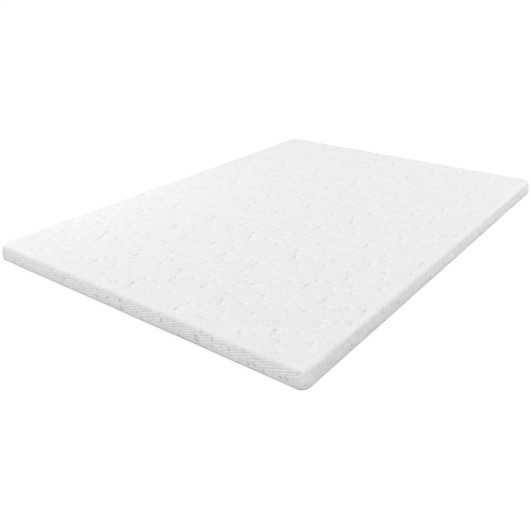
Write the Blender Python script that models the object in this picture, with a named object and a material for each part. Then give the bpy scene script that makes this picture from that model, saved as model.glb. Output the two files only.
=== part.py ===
"""A mattress topper: one soft slab in a white knitted cover.

The cover is laid out flat and then wrapped over the slab, so that a point keeps its distance along
the cloth on its way over the rounded shoulder, down the side wall and round the foot. Sprigs of
small leaves are knitted into the cover, and the joint of each sprig is drawn down into the foam.

Metres, +Z up. The origin is in the middle of the underside, with the long side along Y.
"""

from math import ceil, cos, hypot, pi, radians, sin

import bmesh
import bpy
from mathutils import Vector
from mathutils.geometry import delaunay_2d_cdt

# Size of the whole topper
WIDTH = 1.35
LENGTH = 1.90
THICKNESS = 0.064
CROWN = 0.003  # the middle stands this far above the rim

# The edge in section: a soft shoulder, a slightly full wall and a small roll at the foot
SHOULDER_RADIUS = 0.018
FOOT_RADIUS = 0.006
WALL_BULGE = 0.0025
SHOULDER_ROWS = 4
WALL_ROWS = 4
FOOT_ROWS = 4

# The corners from above: softer at the shoulder than at the foot
CORNER_RADIUS_TOP = 0.048
CORNER_RADIUS_FOOT = 0.025
CORNER_STEPS = 6
SIDE_STEP = 0.055  # spacing of the columns round the edge

# The top: shallow hollows where the foam has settled
HOLLOW_DEPTH = 0.0008
HOLLOWS_ACROSS = 2.5
HOLLOWS_ALONG = 3.5
GROUND_STEP = 0.060  # spacing of the points between the joints

# The sprigs: the repeat of the knit, and the size of a joint, where the leaves of a sprig meet
REPEAT_ACROSS = 0.226
REPEAT_ALONG = 0.388
REPEAT_SKEW = -0.160  # the knit lies askew: rise along Y for each metre across
JOINT_LENGTH = 0.024
JOINT_WIDTH = 0.012
JOINT_DEPTH = 0.0014
JOINT_SIDE_POINTS = 3  # outline points on each side, between the two tips
JOINT_TAPER = 1.3  # 1 gives round ends, more gives pointed ones
JOINT_FLOOR = 0.6  # size of a joint's sunken floor against its outline
JOINT_TO_SHOULDER = 0.014  # a joint stays this far inside the level top

# Joints in one repeat: place in metres, turn in degrees from +X, size against JOINT_LENGTH
JOINT_COLUMNS = ("across", "along", "turn", "size")
JOINTS = (
    (0.190, 0.288, 95, 1.10),
    (0.041, 0.026, 101, 1.05),
    (0.058, 0.254, 87, 0.95),
    (0.020, 0.067, 105, 0.90),
    (0.049, 0.163, 91, 1.00),
    (0.123, 0.141, 155, 0.95),
    (0.196, 0.334, 138, 0.90),
    (0.166, 0.096, 150, 0.90),
    (0.160, 0.045, 104, 0.95),
)

# Worked out from the sizes above
RIM_HEIGHT = THICKNESS - CROWN
WALL_HEIGHT = RIM_HEIGHT - SHOULDER_RADIUS - FOOT_RADIUS
SHOULDER_LENGTH = SHOULDER_RADIUS * pi / 2
FOOT_LENGTH = FOOT_RADIUS * pi / 2

# The level top ends on a rounded rectangle: its corner centres and its corner radius
CENTRE_X = WIDTH / 2 - CORNER_RADIUS_TOP
CENTRE_Y = LENGTH / 2 - CORNER_RADIUS_TOP
LEVEL_RADIUS = CORNER_RADIUS_TOP - SHOULDER_RADIUS - WALL_BULGE

# The mesh
INSIDE_EDGES = 1  # the triangulation keeps what its edges enclose
MERGE_DISTANCE = 0.0001
SHARP_ANGLE = 24  # less than the slope of a joint, more than a step of the shoulder

COLOUR = (0.90, 0.90, 0.90, 1.0)
ROUGHNESS = 0.85


def clamp(value, limit):
    """The value, held between -limit and +limit."""
    return max(-limit, min(limit, value))


def top_height(x, y):
    """Height of the top over the floor: a low crown with shallow hollows, level at its rim."""
    across = max(0.0, 1 - (x / (CENTRE_X + LEVEL_RADIUS)) ** 2)
    along = max(0.0, 1 - (y / (CENTRE_Y + LEVEL_RADIUS)) ** 2)
    crown = CROWN * across * along
    wave = cos(HOLLOWS_ACROSS * 2 * pi * x / WIDTH) * cos(HOLLOWS_ALONG * 2 * pi * y / LENGTH)
    hollow = HOLLOW_DEPTH * across * along * (1 - wave)
    return RIM_HEIGHT + crown - hollow


def edge_section(distance):
    """(inset from the outline, height) at a distance along the cloth from the top's rim."""
    if distance <= SHOULDER_LENGTH:
        lean = distance / SHOULDER_RADIUS
        inset = WALL_BULGE + SHOULDER_RADIUS * (1 - sin(lean))
        return inset, RIM_HEIGHT - SHOULDER_RADIUS * (1 - cos(lean))
    distance -= SHOULDER_LENGTH
    if distance <= WALL_HEIGHT:
        fullness = sin(pi * distance / WALL_HEIGHT) ** 2
        return WALL_BULGE * (1 - fullness), FOOT_RADIUS + WALL_HEIGHT - distance
    lean = min((distance - WALL_HEIGHT) / FOOT_RADIUS, pi / 2)
    return WALL_BULGE + FOOT_RADIUS * (1 - cos(lean)), FOOT_RADIUS * (1 - sin(lean))


def wrap(x, y):
    """Where a point of the flat cover lies once the cover is on the slab."""
    near_x = clamp(x, CENTRE_X)
    near_y = clamp(y, CENTRE_Y)
    reach = hypot(x - near_x, y - near_y)
    if reach <= LEVEL_RADIUS:
        return Vector((x, y, top_height(x, y)))
    inset, height = edge_section(reach - LEVEL_RADIUS)
    corner = CORNER_RADIUS_FOOT + (CORNER_RADIUS_TOP - CORNER_RADIUS_FOOT) * height / RIM_HEIGHT
    outwards = (corner - inset) / reach
    return Vector((
        near_x * (WIDTH / 2 - corner) / CENTRE_X + (x - near_x) * outwards,
        near_y * (LENGTH / 2 - corner) / CENTRE_Y + (y - near_y) * outwards,
        height,
    ))


def edge_rows():
    """Distances outside the top's rim, along the cloth, at which the edge has rows.

    The first row is inside the rim, on the level top, and the last one is on the underside.
    """
    shoulder = [SHOULDER_LENGTH * i / SHOULDER_ROWS for i in range(SHOULDER_ROWS)]
    wall = [SHOULDER_LENGTH + WALL_HEIGHT * i / WALL_ROWS for i in range(WALL_ROWS)]
    foot_start = SHOULDER_LENGTH + WALL_HEIGHT
    foot = [foot_start + FOOT_LENGTH * i / FOOT_ROWS for i in range(FOOT_ROWS + 1)]
    return [-LEVEL_RADIUS] + shoulder + wall + foot


def flat_row(distance):
    """Points round the flat cover, anticlockwise, at a distance outside the top's rim."""
    radius = LEVEL_RADIUS + distance
    steps = {True: ceil(2 * CENTRE_X / SIDE_STEP), False: ceil(2 * CENTRE_Y / SIDE_STEP)}
    row = []
    for quarter, (side_x, side_y) in enumerate(((1, 1), (-1, 1), (-1, -1), (1, -1))):
        centre = Vector((side_x * CENTRE_X, side_y * CENTRE_Y))
        for i in range(CORNER_STEPS + 1):
            turn = (quarter + i / CORNER_STEPS) * pi / 2
            row.append(centre + radius * Vector((cos(turn), sin(turn))))
        runs_across = quarter % 2 == 0
        run = Vector((-2 * side_x * CENTRE_X, 0)) if runs_across else Vector((0, -2 * side_y * CENTRE_Y))
        row += [row[-1] + run * i / steps[runs_across] for i in range(1, steps[runs_across])]
    return row


def sprig_joints():
    """(middle, forward, length, width) of each joint that lies whole on the level top."""
    columns = ceil(WIDTH / REPEAT_ACROSS / 2)
    rows = ceil(LENGTH / REPEAT_ALONG / 2)
    joints = []
    for column in range(-columns - 1, columns + 1):
        for row in range(-rows - 1, rows + 1):
            for values in JOINTS:
                joint = dict(zip(JOINT_COLUMNS, values))
                x = column * REPEAT_ACROSS + joint["across"]
                y = row * REPEAT_ALONG + joint["along"] + x * REPEAT_SKEW
                if max(abs(x) - CENTRE_X, abs(y) - CENTRE_Y) > -JOINT_TO_SHOULDER:
                    continue
                turn = radians(joint["turn"])
                forward = Vector((cos(turn), sin(turn)))
                size = joint["size"]
                joints.append((Vector((x, y)), forward, JOINT_LENGTH * size, JOINT_WIDTH * size))
    return joints


def joint_ring(middle, forward, length, width):
    """Points round a joint, anticlockwise from its tip, on the flat cover."""
    sideways = forward.orthogonal()
    steps = JOINT_SIDE_POINTS + 1
    ring = []
    for i in range(2 * steps):
        turn = pi * i / steps
        side = 1 if i < steps else -1
        half_width = width / 2 * abs(sin(turn)) ** JOINT_TAPER
        ring.append(middle + forward * (length / 2 * cos(turn)) + sideways * side * half_width)
    return ring


def ground_points(joints):
    """Points of the cloth between the joints, in staggered rows, on the level top."""
    clear = (JOINT_LENGTH + GROUND_STEP) / 3
    rows = int(CENTRE_Y / GROUND_STEP)
    columns = int(CENTRE_X / GROUND_STEP)
    points = []
    for row in range(-rows, rows + 1):
        for column in range(-columns, columns + 1):
            point = Vector(((column + row % 2 / 2) * GROUND_STEP, row * GROUND_STEP))
            if point.x < CENTRE_X and all((point - joint[0]).length > clear for joint in joints):
                points.append(point)
    return points


def flat_cover():
    """(points, edges, sunken) of the flat cover, with the outermost row's points first.

    Sunken holds the numbers of the points on the joints' floors.
    """
    joints = sprig_joints()
    loops = [flat_row(distance) for distance in reversed(edge_rows())]
    loops += [joint_ring(*joint) for joint in joints]
    floors = [
        joint_ring(middle, forward, length * JOINT_FLOOR, width * JOINT_FLOOR)
        for middle, forward, length, width in joints
    ]
    points = []
    edges = []
    for loop in loops + floors:
        first = len(points)
        edges += [(first + i, first + (i + 1) % len(loop)) for i in range(len(loop))]
        points += loop
    sunken = range(len(points) - sum(len(floor) for floor in floors), len(points))
    return points + ground_points(joints), edges, sunken


def topper_shape():
    """The slab as one closed mesh: the wrapped cover, and one flat face underneath."""
    points, edges, sunken = flat_cover()
    foot_count = len(flat_row(0))
    placed, _, faces, origins, _, _ = delaunay_2d_cdt(points, edges, [], INSIDE_EDGES, MERGE_DISTANCE)
    shape = bmesh.new()
    cover = []
    foot = {}
    for point, origin in zip(placed, origins):
        place = wrap(point.x, point.y)
        if origin[0] in sunken:
            place.z -= JOINT_DEPTH
        vert = shape.verts.new(place)
        cover.append(vert)
        if origin[0] < foot_count:
            foot[origin[0]] = vert
    for face in faces:
        shape.faces.new([cover[i] for i in face])
    shape.faces.new([foot[i] for i in reversed(range(foot_count))])
    return shape


def knit_material():
    """White knitted cloth."""
    material = bpy.data.materials.new("White knit")
    material.use_nodes = True
    shader = material.node_tree.nodes["Principled BSDF"]
    shader.inputs["Base Color"].default_value = COLOUR
    shader.inputs["Roughness"].default_value = ROUGHNESS
    shader.inputs["Metallic"].default_value = 0.0
    return material


def main():
    for old in list(bpy.data.objects):
        bpy.data.objects.remove(old, do_unlink=True)
    mesh = bpy.data.meshes.new("topper")
    shape = topper_shape()
    shape.to_mesh(mesh)
    shape.free()
    mesh.shade_smooth()
    mesh.set_sharp_from_angle(angle=radians(SHARP_ANGLE))
    mesh.materials.append(knit_material())
    bpy.context.collection.objects.link(bpy.data.objects.new("topper", mesh))


main()
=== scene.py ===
from math import ceil, cos, exp, hypot, pi, radians, sin

import bmesh
import bpy
from mathutils import Matrix, Vector, kdtree, noise
from mathutils.bvhtree import BVHTree
from mathutils.geometry import delaunay_2d_cdt
from mathutils.interpolate import poly_3d_calc


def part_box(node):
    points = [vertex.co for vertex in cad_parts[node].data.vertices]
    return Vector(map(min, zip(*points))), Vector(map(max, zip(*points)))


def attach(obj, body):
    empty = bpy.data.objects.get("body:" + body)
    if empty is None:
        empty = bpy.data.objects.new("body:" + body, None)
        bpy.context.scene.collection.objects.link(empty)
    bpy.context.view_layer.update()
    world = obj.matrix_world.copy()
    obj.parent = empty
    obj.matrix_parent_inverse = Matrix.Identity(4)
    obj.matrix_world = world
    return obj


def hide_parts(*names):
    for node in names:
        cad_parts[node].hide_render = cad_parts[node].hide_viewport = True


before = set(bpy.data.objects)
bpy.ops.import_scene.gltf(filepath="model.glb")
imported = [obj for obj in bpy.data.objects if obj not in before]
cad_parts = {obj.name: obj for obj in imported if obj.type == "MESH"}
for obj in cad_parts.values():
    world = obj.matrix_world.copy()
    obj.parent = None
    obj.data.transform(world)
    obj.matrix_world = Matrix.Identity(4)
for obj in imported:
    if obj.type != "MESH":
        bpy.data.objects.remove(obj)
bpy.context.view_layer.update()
low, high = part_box("topper")
width, length, thickness = high - low
print("frame loaded, topper", [round(side, 4) for side in (width, length, thickness)])

# Lengths are in metres, and turns in degrees.

cameraSetup = {
    "place": (1.3596, -2.0112, 0.9644),  # fitted to the outline in the photo
    "heading": 37.22,  # turned left from +Y
    "down": 25.73,
    "roll": -0.41,
    "lens": 42.23,  # on a 36 mm sensor
}


def addCamera(setup):
    data = bpy.data.cameras.new("camera")
    data.lens = setup["lens"]
    data.sensor_width = 36
    data.clip_end = 200
    camera = bpy.data.objects.new("camera", data)
    turn = Matrix.Rotation(radians(setup["heading"]), 4, "Z")
    turn = turn @ Matrix.Rotation(radians(90 - setup["down"]), 4, "X")
    turn = turn @ Matrix.Rotation(radians(setup["roll"]), 4, "Z")
    camera.matrix_world = Matrix.Translation(setup["place"]) @ turn
    bpy.context.collection.objects.link(camera)
    bpy.context.scene.camera = camera


addCamera(cameraSetup)
print("camera placed")


# The cover is laid out flat, and then wrapped over the foam.
cover = {
    "crown": 0.003,  # the middle stands this far above the rim
    "shoulder": 0.018,  # radius of the soft edge on top
    "foot": 0.006,  # radius of the roll at the floor
    "bulge": 0.0025,  # fullness of the side walls
    "cornerTop": 0.048,  # corner radii seen from above
    "cornerFoot": 0.025,
    "hollow": 0.0008,  # shallow hollows where the foam has settled
    "hollowsAcross": 2.5,
    "hollowsAlong": 3.5,
    "unevenWall": 0.0009,  # soft waviness of the walls
    "unevenSize": 0.11,
    "lay": 2.2,  # side of the square that the UV map spreads over
}
rim = thickness - cover["crown"]
wallHeight = rim - cover["shoulder"] - cover["foot"]
shoulderLength = cover["shoulder"] * pi / 2
footLength = cover["foot"] * pi / 2
edgeLength = shoulderLength + wallHeight + footLength
centreX = width / 2 - cover["cornerTop"]
centreY = length / 2 - cover["cornerTop"]
levelRadius = cover["cornerTop"] - cover["shoulder"] - cover["bulge"]


def topHeight(x, y):
    across = max(0.0, 1 - (x / (centreX + levelRadius)) ** 2)
    along = max(0.0, 1 - (y / (centreY + levelRadius)) ** 2)
    waveX = cos(cover["hollowsAcross"] * 2 * pi * x / width)
    waveY = cos(cover["hollowsAlong"] * 2 * pi * y / length)
    crown = cover["crown"] * across * along
    return rim + crown - cover["hollow"] * across * along * (1 - waveX * waveY)


def edgeSection(distance):
    # inset from the outline and height, at a distance along the cloth from the rim of the top
    shoulder, foot, bulge = cover["shoulder"], cover["foot"], cover["bulge"]
    if distance <= shoulderLength:
        lean = distance / shoulder
        return bulge + shoulder * (1 - sin(lean)), rim - shoulder * (1 - cos(lean))
    distance -= shoulderLength
    if distance <= wallHeight:
        return bulge * (1 - sin(pi * distance / wallHeight) ** 2), foot + wallHeight - distance
    lean = min((distance - wallHeight) / foot, pi / 2)
    return bulge + foot * (1 - cos(lean)), foot * (1 - sin(lean))


def edgeReach(x, y):
    # how far a point of the flat cover lies outside the rim of the top
    nearX = max(-centreX, min(centreX, x))
    nearY = max(-centreY, min(centreY, y))
    return hypot(x - nearX, y - nearY) - levelRadius


def wrap(x, y):
    reach = edgeReach(x, y)
    if reach <= 0:
        return Vector((x, y, topHeight(x, y)))
    nearX = max(-centreX, min(centreX, x))
    nearY = max(-centreY, min(centreY, y))
    inset, height = edgeSection(reach)
    corner = cover["cornerFoot"] + (cover["cornerTop"] - cover["cornerFoot"]) * height / rim
    outwards = (corner - inset) / (reach + levelRadius)
    return Vector((
        nearX * (width / 2 - corner) / centreX + (x - nearX) * outwards,
        nearY * (length / 2 - corner) / centreY + (y - nearY) * outwards,
        height,
    ))


knit = {
    "repeatAcross": 0.226,
    "repeatAlong": 0.388,
    "skew": -0.160,  # the knit lies askew on the slab: rise along Y for each metre across
    "relief": 0.0013,  # a joint lies this far below the cloth round it
    "lip": 0.10,  # the cloth at a form's edge goes the other way, by this share of its height
    "uneven": 0.5,  # how much one sprig's relief differs from another's
    "unevenScale": 9,
    "unevenForm": 0.5,  # and the length of its forms
    "unevenFormScale": 31,
    "pointed": 1.3,  # the more, the sharper a form's ends
    "innerInset": 0.30,  # the ring inside a form's outline, by share of its width
    "innerShare": 0.85,  # its share of the form's height and mark
    "innerTaper": 1.5,  # it is drawn in this much more at the ends
    "ridge": (-0.35, 0, 0.35),  # points along the middle of a form, by half its length
    "ridgeWidth": 0.007,  # for forms at least this wide
    # a leaf's mark is below 0, which paints a highlight on the raised leaf
    "leafMark": -0.5,
    "deepestMark": 1.2,
    "clearCorner": 0.004,
    "clearFoot": 0.002,  # a form ends this far above the roll of the foot
    "groundStep": 0.0105,  # spacing of the mesh between the sprigs
    "groundClear": 0.45,  # share of it that the ground keeps from a form
    "edgeStep": 0.009,
    "shoulderRows": (0, 0.2, 0.4, 0.6, 0.8),
    "wallRows": (0, 0.125, 0.25, 0.375, 0.5, 0.625, 0.75, 0.875),
    "footRows": (0, 0.33, 0.67),
}

# the sprigs in one repeat: place of the joint, turn and size against the forms below, relief, kind
sprigColumns = ("across", "along", "turn", "size", "relief", "kind")
sprigs = (
    (0.190, 0.288, 0, 1.10, 1.20, "full"),
    (0.041, 0.026, 6, 1.05, 1.10, "full"),
    (0.058, 0.254, -8, 0.95, 0.95, "tick"),
    (0.020, 0.067, 10, 0.90, 0.95, "tick"),
    (0.049, 0.163, -4, 1.00, 0.95, "pair"),
    (0.123, 0.141, 5, 0.95, 0.90, "twig"),
    (0.196, 0.334, -12, 0.90, 0.80, "drop"),
    (0.052, 0.306, 14, 0.85, 0.70, "tick"),
    (0.166, 0.096, 0, 0.90, 0.75, "drop"),
    (0.160, 0.045, 9, 0.95, 0.75, "pair"),
    (0.154, 0.172, -15, 0.85, 0.65, "tick"),
    (0.082, 0.380, 8, 0.90, 0.70, "twig"),
    (0.192, 0.200, -6, 0.90, 0.70, "pair"),
    (0.133, 0.102, 12, 0.75, 0.55, "drop"),
    (0.081, 0.222, -3, 0.85, 0.65, "drop"),
    (0.106, 0.338, 20, 0.80, 0.80, "drop"),
    (0.137, 0.262, -20, 0.85, 0.85, "tick"),
    (0.098, 0.060, 4, 0.80, 0.75, "drop"),
    (0.010, 0.352, -6, 0.80, 0.80, "pair"),
    (0.008, 0.122, 16, 0.75, 0.70, "drop"),
)

# the forms of a sprig, from its joint: turn from +X, gap to the joint, length, width, height
# against the relief, and the number of points round it
formColumns = ("turn", "gap", "length", "width", "height", "points")
forms = {
    "joint": (98, -0.0130, 0.027, 0.0115, -1.00, 10),
    "knot": (155, -0.0120, 0.024, 0.0110, -0.95, 10),
    "stem": (-84, 0.0145, 0.020, 0.0078, -0.70, 8),
    "vein": (166, 0.0130, 0.020, 0.0078, -0.65, 8),
    "leaf": (27, 0.0080, 0.024, 0.0150, 0.60, 12),
    "bud": (-30, 0.0085, 0.019, 0.0115, 0.50, 10),
    "blade": (72, 0.0145, 0.021, 0.0125, 0.50, 10),
}
sprigKinds = {
    "full": ("joint", "stem", "vein", "leaf", "bud"),
    "pair": ("joint", "vein", "leaf", "bud"),
    "tick": ("joint", "stem", "blade"),
    "twig": ("knot", "vein", "bud", "blade"),
    "drop": ("knot", "leaf"),
}


def sprigPlaces():
    columns = ceil(width / knit["repeatAcross"] / 2) + 1
    rows = ceil(length / knit["repeatAlong"] / 2) + 1
    places = []
    for column in range(-columns, columns + 1):
        for row in range(-rows, rows + 1):
            for values in sprigs:
                sprig = dict(zip(sprigColumns, values))
                x = column * knit["repeatAcross"] + sprig["across"]
                y = row * knit["repeatAlong"] + sprig["along"] + x * knit["skew"]
                sprig["joint"] = Vector((x, y))
                places.append(sprig)
    return places


def formRing(form, inset):
    # points round a form, anticlockwise from its tip, drawn in from its outline by the inset
    sideways = form["forward"].orthogonal()
    ring = []
    for i in range(form["points"]):
        turn = 2 * pi * i / form["points"]
        along = (form["length"] / 2 - knit["innerTaper"] * inset) * cos(turn)
        half = (form["width"] / 2 - inset) * abs(sin(turn)) ** knit["pointed"]
        side = half if sin(turn) > 0 else -half
        ring.append(form["middle"] + form["forward"] * along + sideways * side)
    return ring


def onCloth(points, height):
    # raised forms keep to the top, and sunk ones also lie on the walls, off the corners
    lastX = centreX - knit["clearCorner"]
    lastY = centreY - knit["clearCorner"]
    if any(abs(point.x) > lastX and abs(point.y) > lastY for point in points):
        return False
    reaches = [edgeReach(point.x, point.y) for point in points]
    if max(reaches) < 0:
        return True
    end = shoulderLength + wallHeight - knit["clearFoot"]
    return height < 0 and min(reaches) > shoulderLength / 2 and max(reaches) < end


def knittedForms():
    found = []
    for sprig in sprigPlaces():
        joint = sprig["joint"]
        size = sprig["size"]
        scale = knit["unevenScale"]
        pressed = 1 + knit["uneven"] * noise.noise(Vector((joint.x * scale, joint.y * scale, 0.3)))
        for name in sprigKinds[sprig["kind"]]:
            form = dict(zip(formColumns, forms[name]))
            angle = radians(sprig["turn"] + form["turn"])
            form["forward"] = Vector((cos(angle), sin(angle)))
            scale = knit["unevenFormScale"]
            stretch = noise.noise(Vector((joint.x * scale, joint.y * scale, form["turn"])))
            form["length"] *= size * (1 + knit["unevenForm"] * stretch)
            form["width"] *= size
            form["middle"] = joint + form["forward"] * (form["gap"] * size + form["length"] / 2)
            form["height"] *= sprig["relief"] * pressed * knit["relief"]
            if onCloth(formRing(form, 0), form["height"]):
                found.append(form)
    return found


def flatRow(reach, step):
    # points round the flat cover, anticlockwise, at a distance outside the rim of the top
    radius = levelRadius + reach
    arcSteps = max(4, ceil(radius * pi / 2 / step))
    row = []
    for quarter, (sideX, sideY) in enumerate(((1, 1), (-1, 1), (-1, -1), (1, -1))):
        middle = Vector((sideX * centreX, sideY * centreY))
        for i in range(arcSteps + 1):
            turn = (quarter + i / arcSteps) * pi / 2
            row.append(middle + radius * Vector((cos(turn), sin(turn))))
        across = quarter % 2 == 0
        run = Vector((-2 * sideX * centreX, 0)) if across else Vector((0, -2 * sideY * centreY))
        steps = ceil(run.length / step)
        row += [row[-1] + run * i / steps for i in range(1, steps)]
    return row


def groundPoints():
    step = knit["groundStep"]
    rowStep = step * 3 ** 0.5 / 2
    rows = int(centreY / rowStep)
    columns = int(centreX / step) + 1
    points = []
    for row in range(-rows, rows + 1):
        for column in range(-columns, columns + 1):
            point = Vector(((column + row % 2 / 2) * step, row * rowStep))
            if edgeReach(point.x, point.y) < -step / 2:
                points.append(point)
    reaches = [shoulderLength * part for part in knit["shoulderRows"]]
    reaches += [shoulderLength + wallHeight * part for part in knit["wallRows"]]
    reaches += [shoulderLength + wallHeight + footLength * part for part in knit["footRows"]]
    for reach in reaches:
        points += flatRow(reach, knit["edgeStep"])
    return points


def flatCover():
    # gives points, edges, each point's height over the cloth and mark (1 deep in a joint, where it
    # paints shade, below 0 on a leaf, where it paints a highlight), and how many points lie on the
    # outermost row
    outermost = flatRow(edgeLength, knit["edgeStep"])
    points = list(outermost)
    edges = [(i, (i + 1) % len(points)) for i in range(len(points))]
    raised = [0.0] * len(points)
    marks = [0.0] * len(points)
    for form in knittedForms():
        height = form["height"]
        # a form's mark paints shade into a sunk joint and a highlight onto a raised leaf
        shade = knit["leafMark"]
        if height < 0:
            shade = min(knit["deepestMark"], -height / knit["relief"])
        outline = (0, -knit["lip"], 0)
        inner = (form["width"] * knit["innerInset"], knit["innerShare"], knit["innerShare"])
        for inset, part, markPart in (outline, inner):
            ring = formRing(form, inset)
            first = len(points)
            edges += [(first + i, first + (i + 1) % len(ring)) for i in range(len(ring))]
            points += ring
            raised += [height * part] * len(ring)
            marks += [shade * markPart] * len(ring)
        if form["width"] > knit["ridgeWidth"]:
            for part in knit["ridge"]:
                points.append(form["middle"] + form["forward"] * part * form["length"] / 2)
                raised.append(height)
                marks.append(shade)
    tree = kdtree.KDTree(len(points))
    for i, point in enumerate(points):
        tree.insert(point.to_3d(), i)
    tree.balance()
    near = knit["groundStep"] * knit["groundClear"]
    for point in groundPoints():
        if tree.find(point.to_3d())[2] > near:
            points.append(point)
            raised.append(0.0)
            marks.append(0.0)
    return points, edges, raised, marks, len(outermost)


underside = {
    "step": 0.055,  # spacing of its points
    "clearRim": 0.04,
}


def undersideGrid():
    step = underside["step"]
    rows = int(length / 2 / step)
    columns = int(width / 2 / step)
    lastX = width / 2 - underside["clearRim"]
    lastY = length / 2 - underside["clearRim"]
    points = []
    for row in range(-rows, rows + 1):
        for column in range(-columns, columns + 1):
            point = Vector(((column + row % 2 / 2) * step, row * step))
            if abs(point.x) < lastX and abs(point.y) < lastY:
                points.append(point)
    return points


def coverMesh():
    points, edges, raised, marks, footCount = flatCover()
    placed, _, faces, origins, _, _ = delaunay_2d_cdt(points, edges, [], 1, 1e-5)
    shape = bmesh.new()
    uvLayer = shape.loops.layers.uv.new("lay")
    reliefLayer = shape.verts.layers.float.new("relief")
    markLayer = shape.verts.layers.float.new("mark")
    wallLayer = shape.verts.layers.float.new("wall")
    verts = []
    foot = {}
    for point, origin in zip(placed, origins):
        vert = shape.verts.new(wrap(point.x, point.y))
        number = origin[0] if origin else footCount
        vert[reliefLayer] = raised[number] if origin else 0
        vert[markLayer] = marks[number] if origin else 0
        turned = edgeReach(point.x, point.y) / shoulderLength
        vert[wallLayer] = max(0.0, min(1.0, 2 * turned - 1))
        verts.append(vert)
        if number < footCount:
            foot[number] = vert
    for face in faces:
        made = shape.faces.new([verts[i] for i in face])
        for loop, i in zip(made.loops, face):
            loop[uvLayer].uv = placed[i] / cover["lay"] + Vector((0.5, 0.5))

    # the flat underside, closed with the same cloth
    rimPoints = [foot[i].co.to_2d() for i in range(footCount)]
    rimEdges = [(i, (i + 1) % footCount) for i in range(footCount)]
    flatPoints = rimPoints + undersideGrid()
    below, _, faces, origins, _, _ = delaunay_2d_cdt(flatPoints, rimEdges, [], 1, 1e-5)
    undersides = []
    for point, origin in zip(below, origins):
        rimVert = foot.get(origin[0])
        undersides.append(rimVert or shape.verts.new((point.x, point.y, 0)))
    for face in faces:
        made = shape.faces.new([undersides[i] for i in reversed(face)])
        for loop in made.loops:
            loop[uvLayer].uv = loop.vert.co.to_2d() / cover["lay"] + Vector((0.5, 0.5))
    mesh = bpy.data.meshes.new("topperCover")
    shape.normal_update()
    shape.to_mesh(mesh)
    shape.free()
    return mesh


# The foam settles in its cover: a short cloth simulation on a coarse copy of the solid.
settling = {
    "merge": 0.0001,
    "voxel": 0.014,
    "drawnIn": 0.0012,  # the copy starts this much smaller, and swells
    "pressure": 2.0,
    "quality": 4,
    "frames": 20,
    "cap": 0.0022,  # no point moves further than this
    "hold": 0.024,  # the knit holds the cloth down this close to a sprig
    "grip": 0.85,
    "edge": 0.055,  # the foam's own firm edge keeps its shape this far from the rim
    "flat": 0.0005,  # points below this height stay where they are
}


def deselectAll():
    for thing in bpy.context.selected_objects:
        thing.select_set(False)


def makeActive(thing):
    deselectAll()
    thing.select_set(True)
    bpy.context.view_layer.objects.active = thing


def settledSwell():
    # (a tree of the copy's faces, its faces, its swell at each point)
    scene = bpy.context.scene
    slab = bpy.data.objects.new("slab", bpy.data.objects["topper"].data.copy())
    scene.collection.objects.link(slab)
    makeActive(slab)
    bpy.ops.object.mode_set(mode="EDIT")
    bpy.ops.mesh.select_all(action="SELECT")
    bpy.ops.mesh.remove_doubles(threshold=settling["merge"])
    bpy.ops.object.mode_set(mode="OBJECT")
    remesh = slab.modifiers.new("remesh", "REMESH")
    remesh.mode = "VOXEL"
    remesh.voxel_size = settling["voxel"]
    bpy.ops.object.modifier_apply(modifier=remesh.name)
    start = [vert.co.copy() for vert in slab.data.vertices]
    tree = BVHTree.FromPolygons(start, [face.vertices[:] for face in slab.data.polygons])
    faces = [face.vertices[:] for face in slab.data.polygons]
    normals = [vert.normal.copy() for vert in slab.data.vertices]
    sprigTree = kdtree.KDTree(len(sprigPlaces()))
    for i, sprig in enumerate(sprigPlaces()):
        sprigTree.insert(sprig["joint"].to_3d(), i)
    sprigTree.balance()
    group = slab.vertex_groups.new(name="held")
    for vert, normal in zip(slab.data.vertices, normals):
        inside = min(width / 2 - abs(vert.co.x), length / 2 - abs(vert.co.y))
        edge = max(0.0, 1 - abs(inside - cover["shoulder"]) / settling["edge"])
        away = sprigTree.find(Vector((vert.co.x, vert.co.y, 0)))[2]
        held = max(edge, settling["grip"] * exp(-(away / settling["hold"]) ** 2))
        if vert.co.z < settling["voxel"]:
            edge = held = 1.0
        vert.co -= normal * settling["drawnIn"] * (1 - edge)
        group.add([vert.index], held, "REPLACE")

    cloth = slab.modifiers.new("cloth", "CLOTH")
    cloth.settings.quality = settling["quality"]
    cloth.settings.use_pressure = True
    cloth.settings.uniform_pressure_force = settling["pressure"]
    cloth.settings.effector_weights.gravity = 0
    cloth.settings.vertex_group_mass = group.name
    cloth.settings.pin_stiffness = 1
    cloth.collision_settings.use_collision = False
    cloth.point_cache.frame_end = settling["frames"]
    for number in range(1, settling["frames"] + 1):
        scene.frame_set(number)
    bpy.ops.object.modifier_apply(modifier=cloth.name)
    scene.frame_set(1)
    swell = []
    for vert, normal, place in zip(slab.data.vertices, normals, start):
        moved = (vert.co - place).dot(normal)
        swell.append(max(-settling["cap"], min(settling["cap"], moved)))
    print("  swell", round(min(swell), 5), round(max(swell), 5), "points", len(swell))
    bpy.data.objects.remove(slab, do_unlink=True)
    return tree, faces, start, swell


def puffed(mesh):
    # lays the simulated swell and the relief of the knit on the cover, along the cloth's normal
    tree, faces, start, swell = settledSwell()
    relief = mesh.attributes["relief"].data
    normals = [vert.normal.copy() for vert in mesh.vertices]
    for vert, normal, raised in zip(mesh.vertices, normals, relief):
        if vert.co.z < settling["flat"]:
            continue
        move = raised.value
        if tree:
            place, _, number, _ = tree.find_nearest(vert.co)
            corners = faces[number]
            shares = poly_3d_calc([start[i] for i in corners], place)
            move += sum(share * swell[i] for share, i in zip(shares, corners))
        steep = 1 - normal.z
        spot = vert.co / cover["unevenSize"]
        move += cover["unevenWall"] * steep * noise.noise(spot)
        vert.co += normal * move


def makeCover():
    mesh = coverMesh()
    print("cover laid out and wrapped:", len(mesh.vertices), "points")
    puffed(mesh)
    piece = bpy.data.objects.new("topperCover", mesh)
    bpy.context.collection.objects.link(piece)
    makeActive(piece)
    bpy.ops.object.shade_smooth()
    return piece


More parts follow.
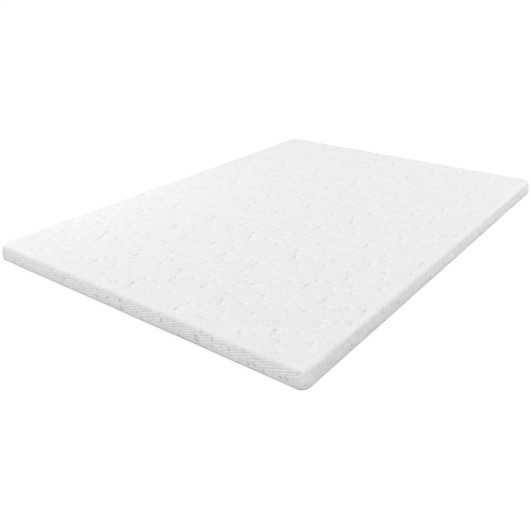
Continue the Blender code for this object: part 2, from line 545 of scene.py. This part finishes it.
whiteKnit = {
    "colour": (0.715, 0.715, 0.715),
    "specular": 0.25,
    "sheen": 0.08,
    "sheenRoughness": 0.5,
    "roughness": 0.86,
    "markRoughness": 0.08,  # the tight knit of a joint is a little duller painted shade in a sunk joint, and a painted highlight on a raised leaf
    "paintedShadeAndHighlight": 0.185,  # and darker
    "cloudScale": 7.0,  # faint uneven tone
    "cloudFloor": 0.985,
    "cloudShade": 0.03,
    "fuzzScale": 900.0,
    "fuzzRise": 0.2,
    "stitch": 0.0016,  # pitch of the stitches
    "stitchRise": 0.15,
    "ribs": (-0.22, -0.52, 0.72),  # the ribs lie across this direction
    "rib": 0.0054,  # pitch of the ribs
    "ribPaintedShade": 0.11,  # painted shade and highlight of the fine lines between them, on the walls only
    "ribSway": 5.0,
    "groovePaintedShade": 0.22,  # painted shade in the broken grooves that run along the ribs
    "grooveRise": 0.12,
    "grooveScale": 1.5,
    "grooveLength": 0.22,  # their noise is drawn out along the ribs: share of its scale left
    # set above the grooves' mean, so the grooves also paint the walls a little darker on the whole
    "grooveMean": 0.56,
    "topShare": 0.06,  # share of the grooves' depth and painted shade left on the top, which is drawn flatter
    "blister": 0.0075,  # width of the small blisters of the double knit
    "blisterScale": 0.7,
    # painted shade in the hollows between the blisters, and lighter tone on their crowns
    "blisterPaintedShade": 0.17,
    "blisterRise": 0.7,
    "wallBlisters": 0.25,  # share of their rise that is left on the walls
    "spot": 0.028,  # spacing of the small gathered spots on the walls
    "spotSize": 3.7,  # the larger, the smaller they are against their spacing
    # painted shade in the small sunk spots
    "spotPaintedShade": 0.40,
    "markFlattens": 0.6,  # a mark takes this share off the ground's relief
    "bumpStrength": 0.8,
    "bumpDistance": 0.0012,
}


class Socket:
    # a shader socket that takes part in Python expressions
    def __init__(self, graph, link):
        self.graph = graph
        self.link = link

    def mathNode(self, operation, a, b=0.0):
        return self.graph.add("ShaderNodeMath", {"operation": operation}, {0: a, 1: b})[0]

    def __add__(self, other):
        return self.mathNode("ADD", self, other)

    def __radd__(self, other):
        return self.mathNode("ADD", other, self)

    def __sub__(self, other):
        return self.mathNode("SUBTRACT", self, other)

    def __rsub__(self, other):
        return self.mathNode("SUBTRACT", other, self)

    def __mul__(self, other):
        return self.mathNode("MULTIPLY", self, other)

    def __rmul__(self, other):
        return self.mathNode("MULTIPLY", other, self)

    def sine(self):
        return self.mathNode("SINE", self)

    def size(self):
        return self.mathNode("ABSOLUTE", self)

    def atLeast(self, limit):
        return self.mathNode("MAXIMUM", self, limit)


class Graph:
    def __init__(self, material):
        self.tree = material.node_tree

    def add(self, kind, settings, values):
        node = self.tree.nodes.new(kind)
        for name, value in settings.items():
            setattr(node, name, value)
        for name, value in values.items():
            if isinstance(value, Socket):
                self.tree.links.new(value.link, node.inputs[name])
            else:
                node.inputs[name].default_value = value
        return [Socket(self, output) for output in node.outputs]


def knitMaterial():
    knitted = whiteKnit
    material = bpy.data.materials.new("whiteKnit")
    material.use_nodes = True
    graph = Graph(material)
    shader = material.node_tree.nodes["Principled BSDF"]
    shader.inputs["Specular IOR Level"].default_value = knitted["specular"]
    shader.inputs["Sheen Weight"].default_value = knitted["sheen"]
    shader.inputs["Sheen Roughness"].default_value = knitted["sheenRoughness"]

    lay = graph.add("ShaderNodeUVMap", {"uv_map": "lay"}, {})[0]
    metres = graph.add("ShaderNodeVectorMath", {"operation": "SCALE"}, {0: lay, 3: cover["lay"]})[0]
    x, y, _ = graph.add("ShaderNodeSeparateXYZ", {}, {0: metres})
    place = graph.add("ShaderNodeTexCoord", {}, {})[3]
    mark = graph.add("ShaderNodeAttribute", {"attribute_name": "mark"}, {})[2]
    wall = graph.add("ShaderNodeAttribute", {"attribute_name": "wall"}, {})[2]

    def noiseOf(vector, scale, detail):
        values = {"Vector": vector, "Scale": scale, "Detail": detail}
        return graph.add("ShaderNodeTexNoise", {}, values)[0]

    cloudy = noiseOf(metres, knitted["cloudScale"], 3.0)
    fuzz = noiseOf(metres, knitted["fuzzScale"], 2.0)
    blisters = noiseOf(metres, knitted["blisterScale"] / knitted["blister"], 1.0)

    # ribs: fine lines painted into the colour as shade and highlight, and broken grooves drawn out
    # along them
    dot = {"operation": "DOT_PRODUCT"}
    acrossRibs = graph.add("ShaderNodeVectorMath", dot, {0: place, 1: knitted["ribs"]})[1]
    ribTurn = acrossRibs * (2 * pi / knitted["rib"])
    ribLines = (ribTurn + knitted["ribSway"] * cloudy).sine()
    scaled = {"operation": "SCALE"}
    drawnOut = graph.add("ShaderNodeVectorMath", scaled, {0: place, 3: knitted["grooveLength"]})[0]
    groovePlace = graph.add(
        "ShaderNodeVectorMath", {"operation": "MULTIPLY_ADD"},
        {0: acrossRibs, 1: knitted["ribs"], 2: drawnOut},
    )[0]
    grooves = noiseOf(groovePlace, knitted["grooveScale"] / knitted["rib"], 0.0)
    # the grooves' relief and their painted shade, both deeper on the walls
    grooveDepth = knitted["topShare"] + (1 - knitted["topShare"]) * wall

    cell = {"Vector": place, "Scale": 1 / knitted["spot"]}
    spotDistance = graph.add("ShaderNodeTexVoronoi", {}, cell)[0]
    spots = (1 - knitted["spotSize"] * spotDistance).atLeast(0.0) * wall

    stitchTurn = 2 * pi / knitted["stitch"]
    stitches = (x * stitchTurn).sine() * (y * stitchTurn).sine()
    blisterRise = knitted["blisterRise"] * (1 - (1 - knitted["wallBlisters"]) * wall)
    ground = knitted["grooveRise"] * grooves * grooveDepth + blisterRise * blisters - spots
    relief = ground * (1 - knitted["markFlattens"] * mark.size())
    relief = relief + knitted["stitchRise"] * stitches + knitted["fuzzRise"] * fuzz
    bump = graph.add("ShaderNodeBump", {}, {
        "Strength": knitted["bumpStrength"],
        "Distance": knitted["bumpDistance"],
        "Height": relief,
    })[0]
    material.node_tree.links.new(bump.link, shader.inputs["Normal"])

    # painted shade in the joints, and a painted highlight on the leaves
    light = 1 - knitted["paintedShadeAndHighlight"] * mark
    light = light * (knitted["cloudFloor"] + knitted["cloudShade"] * cloudy)
    # painted shade between the blisters, lighter on their crowns
    light = light * (1 + knitted["blisterPaintedShade"] * (blisters - 0.5))
    # painted shade in the grooves, deeper on the walls
    light = light * (1 + knitted["groovePaintedShade"] * (grooves - knitted["grooveMean"]) * grooveDepth)
    # the rib lines are only painted, as shade and highlight on the walls
    light = light * (1 + knitted["ribPaintedShade"] * ribLines * wall)
    # painted shade in the sunk spots on the walls
    light = light * (1 - knitted["spotPaintedShade"] * spots)
    tone = graph.add("ShaderNodeVectorMath", scaled, {0: knitted["colour"], 3: light})[0]
    material.node_tree.links.new(tone.link, shader.inputs["Base Color"])
    dull = knitted["roughness"] + knitted["markRoughness"] * mark
    material.node_tree.links.new(dull.link, shader.inputs["Roughness"])
    return material


topperCover = makeCover()
topperCover.data.materials.append(knitMaterial())
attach(topperCover, "root")
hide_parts("topper")
print("cover made:", sum(len(face.vertices) - 2 for face in topperCover.data.polygons), "triangles")


studio = {
    "floorSize": 120.0,
    "floorDrop": 0.0005,
    "floorColour": 0.90,
    "rimHeight": 22.0,  # a pale rim round the floor hides the dark sky from low views
    "rimInner": 57.6,  # its radii at the bottom and at the top
    "rimOuter": 72.0,
    "rimSides": 96,
    "rimSunk": 0.1,
    "skyStrength": 0.06,
}

# suns: the direction they shine from, strength, spread in degrees
sunColumns = ("name", "place", "strength", "spread")
suns = (
    ("frontSun", (0.15, -0.45, 1.0), 2.90, 50),
    ("backSun", (0.0, 0.5, 1.0), 0.95, 50),
)

# softboxes: place, side of the box, power in watts
softboxColumns = ("name", "place", "size", "power")
softboxes = (
    ("leftBox", (-1.6, -0.6, 0.7), 1.0, 6.6),
    ("rightBox", (3.4, 1.0, 0.7), 1.6, 18.6),
    ("backBox", (0.6, 1.7, 0.8), 1.0, 1.4),
)


def paleMaterial():
    material = bpy.data.materials.new("paleFloor")
    material.use_nodes = True
    shader = material.node_tree.nodes["Principled BSDF"]
    shade = studio["floorColour"]
    shader.inputs["Base Color"].default_value = (shade, shade, shade, 1)
    shader.inputs["Roughness"].default_value = 1.0
    shader.inputs["Specular IOR Level"].default_value = 0.0
    return material


def addFloor(material):
    bpy.ops.mesh.primitive_plane_add(
        size=studio["floorSize"], location=(0, 0, -studio["floorDrop"])
    )
    floor = bpy.context.active_object
    floor.name = "floor"
    floor.data.materials.append(material)


def addFloorRim(material):
    height = studio["rimHeight"]
    bpy.ops.mesh.primitive_cone_add(
        vertices=studio["rimSides"], radius1=studio["rimInner"], radius2=studio["rimOuter"],
        depth=height, end_fill_type="NOTHING", location=(0, 0, height / 2 - studio["rimSunk"]),
    )
    floorRim = bpy.context.active_object
    floorRim.name = "floorRim"
    floorRim.data.materials.append(material)
    # only the camera sees it, so it adds no light
    floorRim.visible_diffuse = False
    floorRim.visible_glossy = False
    floorRim.visible_shadow = False


def placeLight(data, place):
    # every light looks at the middle of the topper
    light = bpy.data.objects.new(data.name, data)
    light.location = place
    light.rotation_euler = place.to_track_quat("Z", "Y").to_euler()
    bpy.context.collection.objects.link(light)


def addLights():
    scene = bpy.context.scene
    world = bpy.data.worlds.new("studio")
    world.use_nodes = True
    background = world.node_tree.nodes["Background"]
    background.inputs["Color"].default_value = (1, 1, 1, 1)
    background.inputs["Strength"].default_value = studio["skyStrength"]
    scene.world = world
    for values in suns:
        sun = dict(zip(sunColumns, values))
        data = bpy.data.lights.new(sun["name"], "SUN")
        data.energy = sun["strength"]
        data.angle = radians(sun["spread"])
        placeLight(data, Vector(sun["place"]))
    for values in softboxes:
        box = dict(zip(softboxColumns, values))
        data = bpy.data.lights.new(box["name"], "AREA")
        data.size = box["size"]
        data.energy = box["power"]
        placeLight(data, Vector(box["place"]))
    scene.view_settings.view_transform = "Standard"
    scene.view_settings.look = "None"


paleFloor = paleMaterial()
addFloor(paleFloor)
addFloorRim(paleFloor)
addLights()
print("floor and lights set")
